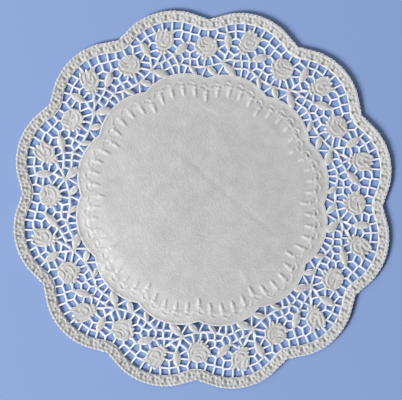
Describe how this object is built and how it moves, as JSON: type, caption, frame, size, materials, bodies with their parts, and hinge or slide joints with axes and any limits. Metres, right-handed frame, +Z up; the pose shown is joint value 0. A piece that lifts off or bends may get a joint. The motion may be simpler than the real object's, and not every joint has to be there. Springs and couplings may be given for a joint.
{
  "type": "paper lace doily",
  "caption": "Round white doily of embossed paper with a scalloped, beaded edge, a cut net of roses and leaves, and a plain round middle.",
  "frame": {"origin": "on the surface that the doily lies on, under the centre of its middle", "axes": "+Z up, out of the embossed side; +X and +Y each run through the tip of a scallop"},
  "size_m": [0.3, 0.3, 0.002],
  "materials": {
    "paper": "matt white embossing paper"
  },
  "bodies": {
    "root": {"doily": "paper"}
  },
  "joints": []
}
